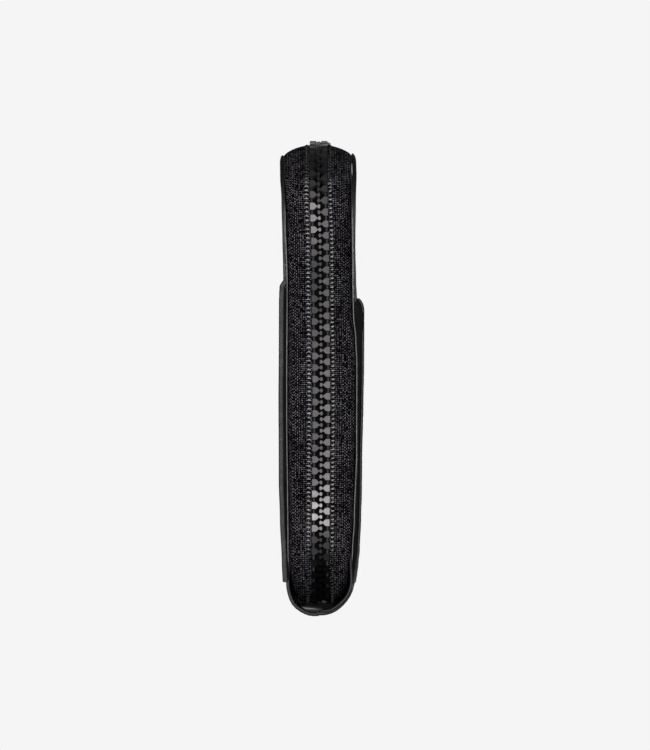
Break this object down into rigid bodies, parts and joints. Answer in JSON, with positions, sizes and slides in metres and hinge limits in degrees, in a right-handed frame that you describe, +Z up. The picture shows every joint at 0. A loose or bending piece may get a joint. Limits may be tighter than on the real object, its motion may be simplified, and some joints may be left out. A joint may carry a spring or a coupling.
{
  "type": "zippered pouch",
  "caption": "Slim leather pouch, stood on its spine, that opens like a book with a moulded-tooth zip round three sides and a flat slip pocket on each face.",
  "frame": {"origin": "on the ground under the middle of the whole object's box, slider included", "axes": "+Z up from the spine to the top edge, +X from the front cover to the back shell, +Y across the pouch to the side that the slider parks on"},
  "size_m": [0.0284, 0.1176, 0.1588],
  "materials": {
    "shell_leather": "black, finely grained, semi-matt",
    "trim_leather": "black, smooth, edge-painted",
    "board": "grey board",
    "lining_cloth": "black twill",
    "tape_cloth": "black herringbone zip tape",
    "cord_cotton": "black cotton cord",
    "tooth_plastic": "satin black moulded plastic",
    "slider_metal": "satin black"
  },
  "bodies": {
    "back_shell": {"back_panel": "shell_leather", "back_welt": "trim_leather", "back_board": "board", "back_lining": "lining_cloth", "back_tape": "tape_cloth", "back_tape_cord": "cord_cotton", "back_teeth": "tooth_plastic", "back_top_stop": "tooth_plastic", "back_slip_pocket": "shell_leather", "back_spine_wall": "shell_leather"},
    "spine": {"spine_base": "shell_leather", "spine_lining": "lining_cloth", "zip_bottom_stop": "tooth_plastic", "near_end_tab": "trim_leather", "far_end_tab": "trim_leather"},
    "front_cover": {"front_panel": "shell_leather", "front_welt": "trim_leather", "front_board": "board", "front_lining": "lining_cloth", "front_tape": "tape_cloth", "front_tape_cord": "cord_cotton", "front_teeth": "tooth_plastic", "front_top_stop": "tooth_plastic", "front_slip_pocket": "shell_leather", "front_spine_wall": "shell_leather"},
    "slider": {"slider_body": "slider_metal", "slider_bridge": "slider_metal"},
    "puller": {"puller": "slider_metal"}
  },
  "joints": [
    {"name": "spine_fold", "type": "hinge", "parent": "back_shell", "child": "spine", "pos_m": [0.00884, 0, 0.00366], "axis": [0, -1, 0], "range_deg": [0, 90]},
    {"name": "cover_fold", "type": "hinge", "parent": "spine", "child": "front_cover", "pos_m": [-0.00884, 0, 0.00366], "axis": [0, -1, 0], "range_deg": [0, 90], "deforming": ["back_teeth", "front_teeth", "back_tape_cord", "front_tape_cord"]},
    {"name": "slider_travel", "type": "slide", "parent": "back_shell", "child": "slider", "axis": [0, 0, 1], "range_m": [0, 0.094]},
    {"name": "puller_swing", "type": "hinge", "parent": "slider", "child": "puller", "pos_m": [0, 0.05675, 0.0322], "axis": [1, 0, 0], "range_deg": [0, 180]}
  ],
  "couplings": [
    {"joint": "spine_fold", "follows": "cover_fold", "ratio": 1}
  ]
}
